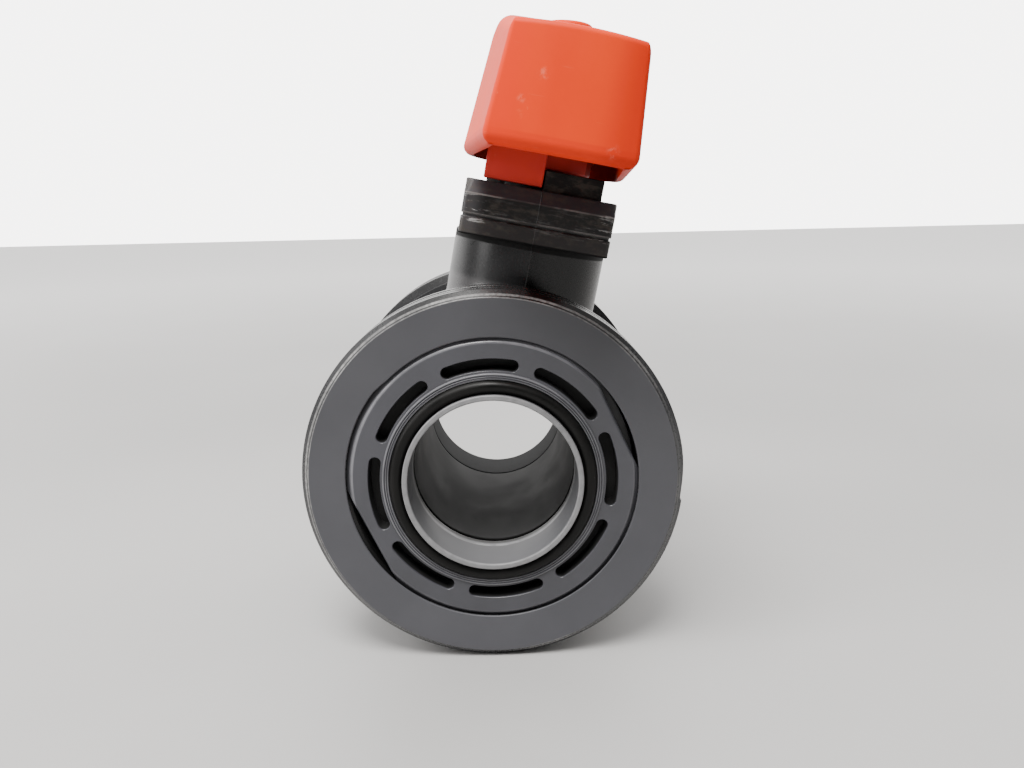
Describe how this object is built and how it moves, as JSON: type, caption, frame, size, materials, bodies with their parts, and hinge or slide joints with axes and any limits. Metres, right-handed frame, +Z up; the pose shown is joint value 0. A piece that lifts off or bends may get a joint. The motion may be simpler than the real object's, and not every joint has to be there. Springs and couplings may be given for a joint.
{
  "type": "ball valve",
  "caption": "Plastic ball valve of the union type with an orange lever, shown open and without its end nuts and pipe connectors.",
  "frame": {"origin": "centre of the ball, where the flow axis and the stem axis cross", "axes": "+Y along the flow axis, from the end with the screwed-in seat carrier to the other end; +Z up the stem towards the lever; +X to the right when looking along +Y"},
  "size_m": [0.115, 0.1413, 0.1969],
  "materials": {
    "body_pvc": "satin moulded rigid PVC, dark grey",
    "ring_pvc": "satin moulded rigid PVC, dark grey",
    "carrier_plastic": "smooth light grey plastic",
    "ball_pvc": "machined smooth grey PVC",
    "seat_ptfe": "waxy white PTFE",
    "seal_rubber": "black rubber, slightly greasy",
    "lever_orange": "orange moulded polypropylene, soft sheen",
    "screw_steel": "stainless steel"
  },
  "bodies": {
    "valve_body": {"body": "body_pvc", "seat_retainer": "ring_pvc", "seat_carrier": "carrier_plastic", "carrier_o_ring": "seal_rubber", "front_face_o_ring": "seal_rubber", "rear_face_o_ring": "seal_rubber", "front_seat": "seat_ptfe", "rear_seat": "seat_ptfe", "front_seat_cushion": "seal_rubber", "rear_seat_cushion": "seal_rubber", "stem_thrust_washer": "seat_ptfe"},
    "operating_group": {"ball": "ball_pvc", "stem": "body_pvc", "lower_stem_o_ring": "seal_rubber", "upper_stem_o_ring": "seal_rubber", "lever": "lever_orange", "lever_screw": "screw_steel", "lever_washer": "screw_steel", "hub_cap": "lever_orange"}
  },
  "joints": [
    {"name": "lever_turn", "type": "hinge", "parent": "valve_body", "child": "operating_group", "pos_m": [0, 0, 0], "axis": [0, 0, -1], "range_deg": [0, 90]}
  ]
}
